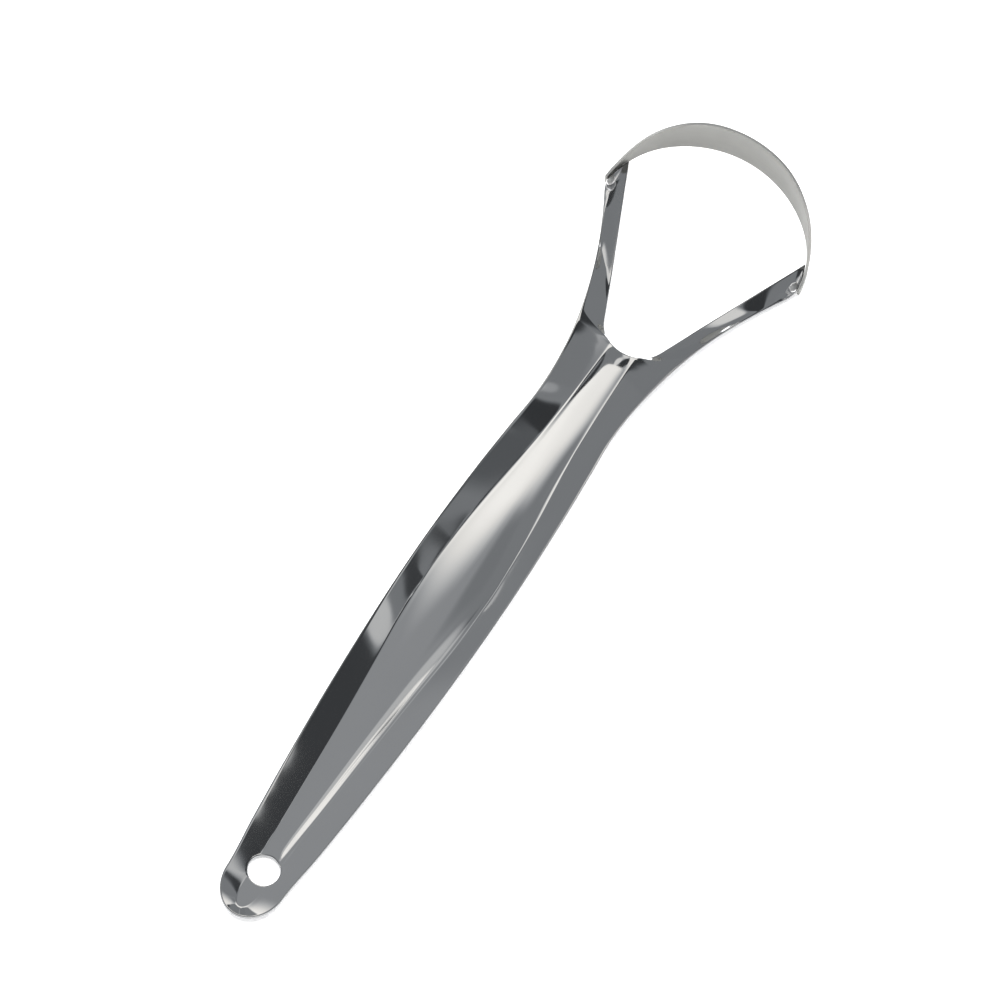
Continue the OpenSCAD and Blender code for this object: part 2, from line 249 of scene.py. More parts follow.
def half_w(s, y):
    """Half width of the handle's outline at a distance from its end."""
    side = SIDE + [[s.neck_y / s.handle_l, s.neck_w / s.handle_w]]
    flare = mix(s.neck_w / 2, s.corner_x, ((y - s.neck_y) / (s.corner_y - s.neck_y)) ** 2)
    return np.where(y > s.neck_y, flare, s.handle_w / 2 * share(side, y / s.handle_l, 0.002))


def edge_run(s, r):
    """Distance along the fork's inner edge, from where both edges meet to a circle about a shoulder."""
    d = s.loop_y - s.apex_y
    near = s.loop_x * sin(s.fork_angle) + d * cos(s.fork_angle)
    return near + np.sqrt(near**2 + r**2 - d**2 - s.loop_x**2)


def on_edge(s, run):
    return np.c_[run * sin(s.fork_angle), s.apex_y + run * cos(s.fork_angle)]


# The sheet is a net of rows. A row runs from an inner to an outer point, and has these values:
# height of the underside (low), rise of the flange to its edge, places of the flange's foot and of
# the spine's side from the centre line, height of the spine (top), upward curl at the outer point,
# how far the row bends about a shoulder's centre, and how far it leans with the loop's tilt.
COLUMNS = ("low", "rise", "foot", "spine", "top", "curl", "bend", "lean")


def rows_of(inner, outer, **values):
    """A table of rows. Values that aren't given are 0, and a single value serves every row."""
    columns = {c: np.broadcast_to(np.asarray(values.get(c, 0), float), len(inner)) for c in COLUMNS}
    return {"inner": inner, "outer": outer, **columns}


def body_rows(s, inner, outer, y):
    """Rows of the handle's body at places y from its end."""
    q = y / s.handle_l
    spine = s.spine_w / 2 * share(SPINE_SIDE, q)
    foot = half_w(s, np.maximum(y, s.cap_y)) * share(FOOT, q)
    return rows_of(inner, outer, low=s.arch_h * share(ARCH, q), rise=s.flange_h * share(RISE, q),
                   foot=np.maximum(foot, spine + s.foot_fillet_w / 2), spine=spine,
                   top=s.spine_h * share(SPINE_TOP, q, 0.006))


# The hanging hole is opened in the net: a square block is left out, and its border drawn onto the
# circle. The net's columns change from the hole's to the body's between NET_HOLE and NET_BODY.
BLOCK_SHARE = 0.89
NET_HOLE = 12
NET_BODY = 20
# Rows from the end to the curls
CAP_ROWS = 26
BEFORE_HOLE = 4
HOLE_ROWS = 19
BODY_ROWS = 186
WEB_ROWS = 24
ARM_ROWS = 40
CURL_ROWS = 20
AFTER_HOLE = np.array([0.06, 0.13, 0.22, 0.34, 0.5, 0.72, 1.0, 1.35, 1.7])
BEFORE_FORK = np.array([4, 3.2, 2.5, 1.9, 1.4, 1, 0.7, 0.5, 0.34, 0.22, 0.13, 0.06, 0])
# Points across a row, from the inner edge over the spine and the strip beside it to the flange
EDGE_STEPS = np.array([0.03, 0.08, 0.15, 0.24])
SPINE_STEPS = 11
STRIP_STEPS = np.array([0.11, 0.24, 0.4, 0.62, 1.0])
FLANGE_STEPS = 20
FLANGE_CROWDING = 1.3
# On a short row the steps at its two ends are cut down to these shares of the spine and of the flange
INNER_MOST = np.linspace(0.03, 0.3, 4)
OUTER_LEAST = np.linspace(0.8, 0.97, 4)
# Limits of the spine's column and of the strip as shares of a row, and the strip's width at the hole
SPINE_LEAST = 0.16
SPINE_MOST = 0.62
STRIP_LEAST = 0.06
STRIP_AT_HOLE = 0.55
# How far the crease's heights have gone from the body's to the arm's, how far the rows have bent at
# the end of the fork's round bottom, and the curl's share of a quarter circle, squared
CREASE_LOW = 0.3
CREASE_HIGH = 0.55
ROUND_BEND = 7 / 13
CURL_ROUND = 0.96
# Softness of the spine's foot, as a share of the spine's height
SPINE_SOFT = 0.03
# The pull towards the hole's circle fades out between these distances, in half widths of the block
PULL_FULL = 1.0
PULL_GONE = 2.1


def body_places(s):
    """Places of the body's rows, close together round the hole and at the fork's bottom."""
    block = BLOCK_SHARE * s.hole_d / 2
    low, high = s.hole_inset - block, s.hole_inset + block
    return np.concatenate([
        np.linspace(s.cap_y, low, BEFORE_HOLE, endpoint=False),
        np.linspace(low, high, HOLE_ROWS + 1),
        high + AFTER_HOLE,
        np.linspace(high + AFTER_HOLE[-1] + 0.4, s.handle_l - BEFORE_FORK[0] - 0.4, BODY_ROWS),
        s.handle_l - BEFORE_FORK])


def handle_rows(s):
    """All rows of the sheet from the rounded end to the arms' curled ends, the number of the row at the
    fork's bottom, and those of the first and last row at the hole."""
    a = np.linspace(pi / 2, 0, CAP_ROWS, endpoint=False)
    y = s.cap_y - s.end_l * np.sin(a) / 2
    cap_side = np.c_[half_w(s, s.cap_y) * np.cos(a), s.cap_y - s.end_l * np.sin(a)]
    cap = body_rows(s, np.c_[0 * a, y], cap_side, y)
    y_body = body_places(s)
    body = body_rows(s, np.c_[0 * y_body, y_body], np.c_[half_w(s, y_body), y_body], y_body)

    last = {c: body[c][-1] for c in COLUMNS}
    pressed = {c: last[c] for c in ("foot", "spine", "top")}
    edge_z = last["low"] + last["rise"]
    crease_run = (s.handle_l + s.crease_in_l - s.apex_y) / cos(s.fork_angle)
    crease_out = s.handle_l + s.crease_out_l
    crease_low = mix(last["low"], s.tip_z, CREASE_LOW)
    crease_high = mix(edge_z, s.corner_z, CREASE_HIGH)

    def web(inner, t, bend):
        y = mix(s.handle_l, crease_out, t)
        low = mix(last["low"], crease_low, t**2)
        high = mix(edge_z, crease_high, t**2)
        return rows_of(inner, np.c_[half_w(s, y), y], low=low, rise=high - low, bend=bend, **pressed)

    web_end = (s.round_y - s.handle_l) / s.crease_in_l
    u = np.arange(1, WEB_ROWS + 1) / WEB_ROWS
    a = (pi / 2 - s.fork_angle) * u
    around = np.c_[s.fork_r * np.sin(a), s.handle_l + s.fork_r * (1 - np.cos(a))]
    circle = web(around, web_end * u, ROUND_BEND * u)
    t = mix(web_end, 1, u)
    run = (s.handle_l + s.crease_in_l * t - s.apex_y) / cos(s.fork_angle)
    straight = web(on_edge(s, run), t, mix(ROUND_BEND, 1, u))

    tip_run = edge_run(s, s.inner_r)
    slope = 2 * (s.corner_x - s.neck_w / 2) / (s.corner_y - s.neck_y)
    curl_back = s.curl_l / sin(np.arctan(slope) + s.corner_turn) * cos(np.arctan(slope))

    def arm(run, y, curl, lean):
        t = (run - crease_run) / (tip_run - crease_run)
        low = mix(crease_low, s.tip_z, t)
        return rows_of(on_edge(s, run), np.c_[half_w(s, y), y], low=low,
                       rise=mix(crease_high, s.corner_z, t) - low, curl=curl, bend=1, lean=lean,
                       **pressed)

    u = np.arange(1, ARM_ROWS + 1) / ARM_ROWS
    arms = arm(mix(crease_run, edge_run(s, s.inner_r - s.curl_l), u),
               mix(crease_out, s.corner_y - curl_back, u), 0, u)
    u = np.arange(1, CURL_ROWS + 1) / CURL_ROWS
    curls = arm(edge_run(s, s.inner_r - s.curl_l * (1 - u)), s.corner_y - curl_back * (1 - u),
                s.curl_h * (1 - np.sqrt(1 - CURL_ROUND * u**2)), 1)
    # Round the outer corner by drawing the rows' outer ends in along a circle
    near = np.clip(s.corner_r - curl_back * (1 - u), 0, s.corner_r)
    cut = s.corner_r - np.sqrt(s.corner_r**2 - near**2)
    kept = 1 - cut / np.linalg.norm(curls["outer"] - curls["inner"], axis=1)
    curls["outer"] = placed(s, curls, kept[:, None])[:, 0]
    parts = [cap, body, circle, straight, arms, curls]
    rows = {key: np.concatenate([part[key] for part in parts]) for key in cap}
    block = CAP_ROWS + BEFORE_HOLE
    return rows, CAP_ROWS + len(y_body) - 1, (block, block + HOLE_ROWS)


def column_shares(s, rows):
    """Where each row's points stand on its way from the inner to the outer edge, as shares of it, and
    the number of the column that borders the hole."""
    inner, foot, spine = rows["inner"], rows["foot"][:, None], rows["spine"][:, None]
    reach = np.linalg.norm(rows["outer"] - inner, axis=1)[:, None]
    block = BLOCK_SHARE * s.hole_d / 2
    away = np.clip((inner[:, 1:] - NET_HOLE) / (NET_BODY - NET_HOLE), 0, 1)
    away = away * away * (3 - 2 * away)
    at_hole = block / np.maximum(reach, block / SPINE_MOST)
    at_spine = mix(at_hole, np.clip((spine - inner[:, :1]) / reach, SPINE_LEAST, 1), away)
    at_foot = at_spine + STRIP_AT_HOLE / reach.clip(4)
    at_foot = mix(at_foot, np.clip((foot - inner[:, :1]) / reach, 0, 1), away)
    at_foot = np.maximum(at_foot, at_spine + STRIP_LEAST)
    edge = EDGE_STEPS / reach
    start = np.minimum(edge, at_spine * INNER_MOST)
    end = np.maximum(1 - edge[:, ::-1], mix(at_foot, 1, OUTER_LEAST))
    over_spine = mix(start[:, -1:], at_spine, np.linspace(0, 1, SPINE_STEPS)[1:])
    strip = mix(at_spine, at_foot, STRIP_STEPS)
    steps = np.linspace(0, 1, FLANGE_STEPS + 1)[1:] ** FLANGE_CROWDING
    flange = mix(at_foot, end[:, :1], steps)
    one = np.ones_like(reach)
    shares = np.concatenate([0 * one, start, over_spine, strip, flange, end[:, 1:], one], axis=1)
    return shares, len(EDGE_STEPS) + SPINE_STEPS - 1


def under_height(s, rows, v):
    """Height of the sheet's underside at shares v across each row."""
    inner, outer = rows["inner"], rows["outer"]
    low, rise, foot, spine, top, curl = [rows[c][:, None] for c in COLUMNS[:6]]
    reach = np.linalg.norm(outer - inner, axis=1)[:, None]
    f = np.clip((foot - inner[:, :1]) / reach, 0, 0.98)
    e = s.foot_fillet_w / reach
    t = (v - f) / (1 - f)
    ramp = (t + np.sqrt(t**2 + e**2) - e) / (2 - e)
    x = mix(inner[:, :1], outer[:, :1], v)
    hump = 1 - (x / spine) ** 2
    hump = (hump + np.sqrt(hump**2 + SPINE_SOFT**2)) / 2
    return low + rise * np.clip(ramp, 0, 1) + top * hump + curl * v


def placed(s, rows, v):
    """Plan of the points. Beyond the body a row bends with the circles about a shoulder's centre."""
    inner, outer, bend = rows["inner"], rows["outer"], rows["bend"][:, None, None]
    straight = inner[:, None] + (outer - inner)[:, None] * v[..., None]
    centre = np.array([s.loop_x, s.loop_y])
    a, b = inner - centre, outer - centre
    radius = mix(np.hypot(*a.T)[:, None], np.hypot(*b.T)[:, None], v)
    turn = mix(np.arctan2(a[:, 1], a[:, 0])[:, None], np.arctan2(b[:, 1], b[:, 0])[:, None], v)
    bent = centre + np.stack([radius * np.cos(turn), radius * np.sin(turn)], axis=-1)
    return mix(straight, bent, bend)


def distance_to(points, line):
    """Distance of each point from a run of straight pieces."""
    a, d = line[:-1], np.diff(line, axis=0)
    q = points[:, None] - a
    t = np.clip((q * d).sum(2) / np.maximum((d**2).sum(1), 1e-12), 0, 1)
    return np.sqrt(((q - t[..., None] * d) ** 2).sum(2)).min(1)


def open_hole(s, rows, p, v):
    """Draws the net's square block onto the hole's circle. The pull fades over the net around it."""
    centre = np.array([0, s.hole_inset])
    block = BLOCK_SHARE * s.hole_d / 2
    q = p - centre
    c = np.abs(q).max(-1, keepdims=True) / block
    ring = q / np.maximum(c, 1e-6)
    circle = s.hole_d / 2 * ring / np.maximum(np.linalg.norm(ring, axis=-1, keepdims=True), 1e-9)
    fade = np.clip((PULL_GONE - c) / (PULL_GONE - PULL_FULL), 0, 1) ** 2 * (c > 0.999 * PULL_FULL)
    fade[rows["inner"][:, 1] > s.hole_inset + 3 * block] = 0
    move = (circle - ring) * fade
    across = (rows["outer"] - rows["inner"])[:, 0].clip(1)
    return p + move, v + move[..., 0] / across[:, None]


def handle_mesh(s):
    """Points and faces of the handle, and how much of the rim's rounding each point has. The net is made
    once, for one half's plan, and used for both halves and both sides of the sheet."""
    rows, split, (hole_first, hole_last) = handle_rows(s)
    v, hole_column = column_shares(s, rows)
    p = placed(s, rows, v)
    p, v = open_hole(s, rows, p, v)
    n, m = v.shape
    flat = p.reshape(-1, 2)
    lines = [p[:, -1], p[split:, 0], p[-1]]
    d = np.min([distance_to(flat, line) for line in lines], axis=0).reshape(n, m)
    d = np.minimum(d, np.abs(np.linalg.norm(p - [0, s.hole_inset], axis=-1) - s.hole_d / 2))
    gap = s.rim_r - np.clip(d, 0, s.rim_r)
    drop = s.rim_r - np.sqrt(s.rim_r**2 - gap**2)
    z = under_height(s, rows, v)
    points = []
    for level in (0, 1):
        height = z + (s.sheet_t - drop if level else drop)
        y = p[..., 1] - height * rows["lean"][:, None] * tan(s.loop_tilt) - s.middle_y
        for side in (-1, 1):
            points.append(np.stack([side * p[..., 0], y, height], axis=-1).reshape(-1, 3))
    grid = np.arange(n * m).reshape(n, m)
    solid = np.ones((n - 1, m - 1), bool)
    solid[hole_first:hole_last, :hole_column] = False
    corners = (grid[:-1, :-1], grid[1:, :-1], grid[1:, 1:], grid[:-1, 1:])
    quads = np.stack([corner[solid] for corner in corners], axis=1)
    rims = [grid[:, -1], grid[-1, :], grid[split:, 0], grid[hole_first, : hole_column + 1],
            grid[hole_first : hole_last + 1, hole_column], grid[hole_last, : hole_column + 1]]
    faces = [quads + sheet * n * m for sheet in range(4)]
    for side in (0, 1):
        for rim in rims:
            low, high = rim + side * n * m, rim + (2 + side) * n * m
            faces.append(np.stack([low[:-1], low[1:], high[1:], high[:-1]], axis=1))
    cut = np.clip(gap / s.rim_r, 0, 1).reshape(-1)
    return np.concatenate(points) * MM, np.concatenate(faces), np.tile(cut, 4)


def linked(name, data):
    """A new object in the scene."""
    made = bpy.data.objects.new(name, data)
    bpy.context.scene.collection.objects.link(made)
    return made


def finished(mesh, material, cad_node):
    """Puts a finished piece in the scene, gives it its finish and ties it to the frame."""
    piece = linked(mesh.name, mesh)
    mesh.materials.clear()
    mesh.materials.append(material)
    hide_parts(cad_node)
    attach(piece, "root")


def node(tree, kind, inputs=(), **settings):
    """Adds a node with its settings. Inputs go by name or in order. An input is a value, or else a
    socket or a node's first output, which is linked to it."""
    made = tree.nodes.new(kind)
    for key, value in settings.items():
        setattr(made, key, value)
    for key, value in inputs.items() if isinstance(inputs, dict) else enumerate(inputs):
        if isinstance(value, bpy.types.Node):
            value = value.outputs[0]
        if isinstance(value, bpy.types.NodeSocket):
            tree.links.new(value, made.inputs[key])
        else:
            made.inputs[key].default_value = value
    return made


def new_material(name):
    material = bpy.data.materials.new(name)
    material.use_nodes = True
    material.node_tree.nodes.clear()
    return material, material.node_tree


def darker(colour, part=1.0):
    """The colour times a part, as a colour socket takes it."""
    return (*[part * c for c in colour], 1)


def metal_surface(t, tint, rough, bump):
    """Ends a metal's tree with its surface."""
    shade = node(t, "ShaderNodeBsdfPrincipled", {"Base Color": tint, "Metallic": 1.0, "Roughness": rough,
                 "Normal": bump})
    node(t, "ShaderNodeOutputMaterial", {"Surface": shade})


def polished_stainless(colour):
    """Stainless sheet, pressed, tumbled and buffed to a mirror. It shows the room sharply, with a slight
    haze that drifts over a few millimetres and buffing lines that run along the handle. The rounded
    cut edges are duller, and their colour is painted darker: painted shade for the dark line the rims show."""
    material, t = new_material("polished_stainless_sheet")
    place = node(t, "ShaderNodeTexCoord").outputs["Object"]
    haze = node(t, "ShaderNodeTexNoise", {"Vector": place, "Scale": 1 / (9 * MM), "Detail": 3.0})
    stretch = (1 / (0.25 * MM), 1 / (12 * MM), 1 / (0.25 * MM))
    along = node(t, "ShaderNodeMapping", {"Vector": place, "Scale": stretch})
    lines = node(t, "ShaderNodeTexNoise", {"Vector": along, "Scale": 1.0, "Detail": 2.0})
    cut = node(t, "ShaderNodeAttribute", attribute_name="cut_edge").outputs["Fac"]
    rough = node(t, "ShaderNodeMapRange", {"Value": haze, "From Min": 0.3, "From Max": 0.7,
                 "To Min": 0.04, "To Max": 0.07})
    rough = node(t, "ShaderNodeMix", {"Factor": cut, 2: rough, 3: 0.2}, data_type="FLOAT")
    tint = node(t, "ShaderNodeMix", {"Factor": haze, 6: darker(colour), 7: darker(colour, 0.94)},
                data_type="RGBA").outputs[2]
    # Painted shade: the rims' colour is darkened to the dark line that they show.
    tint = node(t, "ShaderNodeMix", {"Factor": cut, 6: tint, 7: darker(colour, 0.42)},
                data_type="RGBA").outputs[2]
    bump = node(t, "ShaderNodeBump", {"Height": lines, "Strength": 0.004, "Distance": 0.02 * MM})
    metal_surface(t, tint, rough, bump)
    return material


def satin_stainless(colour):
    """Stainless strip with a satin finish, brushed along its length by a 240 grit belt. It is matt, with
    fine scratches that run round the loop. Its two long edges are painted paler: a painted highlight along
    the rims."""
    material, t = new_material("satin_stainless_strip")
    place = node(t, "ShaderNodeTexCoord").outputs["Object"]
    stretch = (1 / (6 * MM), 1 / (6 * MM), 1 / (0.12 * MM))
    round_loop = node(t, "ShaderNodeMapping", {"Vector": place, "Scale": stretch})
    grit = node(t, "ShaderNodeTexNoise", {"Vector": round_loop, "Scale": 1.0, "Detail": 3.0})
    cloud = node(t, "ShaderNodeTexNoise", {"Vector": place, "Scale": 1 / (5 * MM), "Detail": 2.0})
    tint = node(t, "ShaderNodeMix", {"Factor": grit, 6: darker(colour), 7: darker(colour, 0.86)},
                data_type="RGBA").outputs[2]
    # Painted highlight: the strip's long edges are painted paler.
    rim_highlight = node(t, "ShaderNodeAttribute", attribute_name="cut_edge").outputs["Fac"]
    tint = node(t, "ShaderNodeMix", {"Factor": rim_highlight, 6: tint, 7: (0.9, 0.9, 0.88, 1)},
                data_type="RGBA").outputs[2]
    rough = node(t, "ShaderNodeMapRange", {"Value": cloud, "From Min": 0.3, "From Max": 0.7,
                 "To Min": 0.42, "To Max": 0.5})
    bump = node(t, "ShaderNodeBump", {"Height": grit, "Strength": 0.25, "Distance": 0.02 * MM})
    metal_surface(t, tint, rough, bump)
    return material


def weld_metal(colour):
    """Spot of weld metal, left as it set and then buffed. Ripples about half a millimetre wide stay."""
    material, t = new_material("buffed_weld_metal")
    place = node(t, "ShaderNodeTexCoord").outputs["Object"]
    ripple = node(t, "ShaderNodeTexNoise", {"Vector": place, "Scale": 1 / (0.6 * MM), "Detail": 2.0})
    tint = node(t, "ShaderNodeMix", {"Factor": ripple, 6: darker(colour), 7: darker(colour, 0.8)},
                data_type="RGBA").outputs[2]
    rough = node(t, "ShaderNodeMapRange", {"Value": ripple, "From Min": 0.3, "From Max": 0.7,
                 "To Min": 0.3, "To Max": 0.42})
    bump = node(t, "ShaderNodeBump", {"Height": ripple, "Strength": 0.3, "Distance": 0.05 * MM})
    metal_surface(t, tint, rough, bump)
    return material


def seen_rays(t):
    """1 for the camera's rays and for those that a mirror or clear body sends on, else 0."""
    path = node(t, "ShaderNodeLightPath").outputs
    seen = node(t, MATH, (path["Is Camera Ray"], path["Is Glossy Ray"]), operation="MAXIMUM")
    return node(t, MATH, (seen, path["Is Transmission Ray"]), operation="MAXIMUM")


TABLE_GLOW = 0.3


def matt_white(colour):
    """Matt white table top. For the camera and in mirrors it glows a little, so it reads as plain white
    and still takes the object's soft shadow."""
    material, t = new_material("matt_white_table")
    glow = node(t, MATH, (seen_rays(t), TABLE_GLOW), operation="MULTIPLY")
    shade = node(t, "ShaderNodeBsdfPrincipled", {"Base Color": darker(colour), "Roughness": 0.9,
                 "Specular IOR Level": 0.0, "Emission Color": (1, 1, 1, 1), "Emission Strength": glow})
    node(t, "ShaderNodeOutputMaterial", {"Surface": shade})
    return material


# What the polished steel mirrors: panels of the light tent and the gaps between them.
# Direction (azimuth from +X, elevation), full and faded angle from it, and level. The first four
# stand on the camera's side and show only from behind.
TENT_LEVEL = 0.36
TENT_PANELS = [
    (310, 30, 14, 34, 0.95),
    (258, 22, 10, 26, 0.12),
    (350, 14, 8, 20, 0.12),
    (215, 30, 10, 30, 0.8),
    (150, 2, 14, 24, 0.29),
    (48, 57, 9, 16, 0.27),
    (54, 30, 9, 16, 0.27),
    (72, 67, 4, 10, 0.25),
    (118, 38, 15, 32, 1.2),
    (92, 38, 13, 28, 1.1),
    (147, 13, 9, 13, 0.27),
    (134, 22, 8, 11, 0.27),
    (130, 30, 6, 9, 0.27),
    (124, 10, 9, 13, 0.25),
    (142, 8, 3.5, 6, 0.08),
    (24, 46, 9.5, 12, 0.06),
    (29, 59, 4, 7, 0.06),
    (13, 53, 3, 4.5, 1.15),
    (15.5, 58, 2, 3.2, 1.15),
    (18.5, 62.5, 2.4, 3.8, 1.1),
    (27, 68, 3, 6, 0.62),
    (22, 27, 4, 7, 0.25),
    (29.5, 31.5, 2.5, 6, 0.13),
    (21.3, 32.3, 2.2, 3.2, 0.64),
    (21.9, 20.8, 1.2, 3, 1.2),
    (22, 26.2, 0.9, 1.4, 0.06),
    (36.8, 31.6, 2.4, 4.2, 0.05),
    (33, 32, 0.35, 0.6, 0.27),
    (46.5, 31, 1, 2.2, 0.42),
    (46.5, 26, 2.5, 4.5, 0.9),
]
# The card that the arms mirror: its centre and sides in millimetres and its turn about X, then spots
# by place on it, full and faded radius in millimetres, and level
CARD_CENTRE = (0, 95, 50)
CARD_SIDES = [(-62, -60), (55, -60), (55, 21), (-62, 21)]
CARD_TURN = 145
CARD_LEVEL = 0.26
CARD_SPOTS = [
    (-3.5, 16, 5, 8, 0.85),
    (13, 13.5, 8, 10.5, 0.05),
    (-53, 22, 7, 9.5, 0.05),
]


def lit(t, value, material):
    """Light of a level, cool in the dark parts and a little warm in the bright ones."""
    tint = node(t, "ShaderNodeMix", {"Factor": value, 6: darker(linear("#EBF1F7")),
                7: darker(linear("#FFFCF6"))}, data_type="RGBA").outputs[2]
    glow = node(t, "ShaderNodeEmission", {"Color": tint, "Strength": value})
    node(t, "ShaderNodeOutputMaterial", {"Surface": glow})
    return material


def light_tent():
    """Cloth of a light tent, lit from outside, with darker gaps where its panels end."""
    material, t = new_material("light_tent_cloth")
    place = node(t, "ShaderNodeTexCoord").outputs["Object"]
    way = node(t, "ShaderNodeVectorMath", (place,), operation="NORMALIZE")
    value = TENT_LEVEL
    for turn, rise, full, faded, panel in TENT_PANELS:
        turn, rise = radians(turn), radians(rise)
        toward = (cos(turn) * cos(rise), sin(turn) * cos(rise), sin(rise))
        near = node(t, "ShaderNodeVectorMath", (way, toward), operation="DOT_PRODUCT")
        part = node(t, "ShaderNodeMapRange", {"Value": near.outputs["Value"],
                    "From Min": cos(radians(faded)), "From Max": cos(radians(full))},
                    interpolation_type="SMOOTHSTEP")
        value = node(t, "ShaderNodeMix", {"Factor": part, 2: value, 3: panel}, data_type="FLOAT")
    return lit(t, value, material)


def grey_card():
    """Grey card beside the loop, with a pale and two dark spots that fade at their edges."""
    material, t = new_material("grey_card")
    place = node(t, "ShaderNodeTexCoord").outputs["Object"]
    value = CARD_LEVEL
    for across, along, full, faded, spot in CARD_SPOTS:
        centre = (across * MM, along * MM, 0)
        away = node(t, "ShaderNodeVectorMath", (place, centre), operation="DISTANCE")
        part = node(t, "ShaderNodeMapRange", {"Value": away.outputs["Value"], "From Min": faded * MM,
                    "From Max": full * MM}, interpolation_type="SMOOTHSTEP")
        value = node(t, "ShaderNodeMix", {"Factor": part, 2: value, 3: spot}, data_type="FLOAT")
    return lit(t, value, material)


def group_with(name, sizes):
    """A Geometry Nodes tree with named sizes as inputs, and its input node."""
    tree = bpy.data.node_groups.new(name, "GeometryNodeTree")
    tree.interface.new_socket("Geometry", in_out="INPUT", socket_type="NodeSocketGeometry")
    for size in sizes:
        tree.interface.new_socket(size, in_out="INPUT", socket_type="NodeSocketFloat")
    tree.interface.new_socket("Geometry", in_out="OUTPUT", socket_type="NodeSocketGeometry")
    return tree, node(tree, "NodeGroupInput").outputs


def end_tree(t, shape, material):
    """Ends a tree with its shape in one material."""
    real = node(t, "GeometryNodeRealizeInstances", {"Geometry": shape})
    dressed = node(t, "GeometryNodeSetMaterial", {"Geometry": real, "Material": material})
    node(t, "NodeGroupOutput", {"Geometry": dressed})


def baked(tree, sizes, modifiers=()):
    """Runs the tree on an empty object with its sizes set and gives back the plain mesh, in metres."""
    carrier = linked("carrier", bpy.data.meshes.new("carrier"))
    grower = carrier.modifiers.new("Grow", "NODES")
    grower.node_group = tree
    for item in tree.interface.items_tree:
        if item.in_out == "INPUT" and item.name in sizes:
            grower[item.identifier] = float(sizes[item.name])
    for kind, settings in modifiers:
        extra = carrier.modifiers.new(kind, kind)
        for key, value in settings.items():
            setattr(extra, key, value)
    bpy.context.view_layer.update()
    view = carrier.evaluated_get(bpy.context.evaluated_depsgraph_get())
    mesh = bpy.data.meshes.new_from_object(view)
    carrier.modifiers.clear()
    bpy.data.objects.remove(carrier)
    if not len(mesh.polygons):
        raise RuntimeError(f"{tree.name} made no faces")
    mesh.transform(Matrix.Scale(MM, 4))
    return mesh


def outward(mesh):
    """Points a closed mesh's faces outwards and shades it smooth."""
    work = bmesh.new()
    work.from_mesh(mesh)
    bmesh.ops.remove_doubles(work, verts=work.verts, dist=0.0005 * MM)
    bmesh.ops.recalc_face_normals(work, faces=work.faces)
    if work.calc_volume(signed=True) < 0:
        bmesh.ops.reverse_faces(work, faces=work.faces)
    open_edges = sum(not edge.is_manifold for edge in work.edges)
    work.to_mesh(mesh)
    work.free()
    mesh.shade_smooth()
    if open_edges:
        raise RuntimeError(f"{mesh.name} has {open_edges} open edges")


BAND_COLUMNS = 401
BAND_ROWS = 25


def on_circle(t, turn, radius):
    """Sockets for the place across and along at an angle on a circle."""
    cosine = node(t, MATH, (turn,), operation="COSINE")
    sine = node(t, MATH, (turn,), operation="SINE")
    return [node(t, MATH, (part, radius), operation="MULTIPLY") for part in (cosine, sine)]


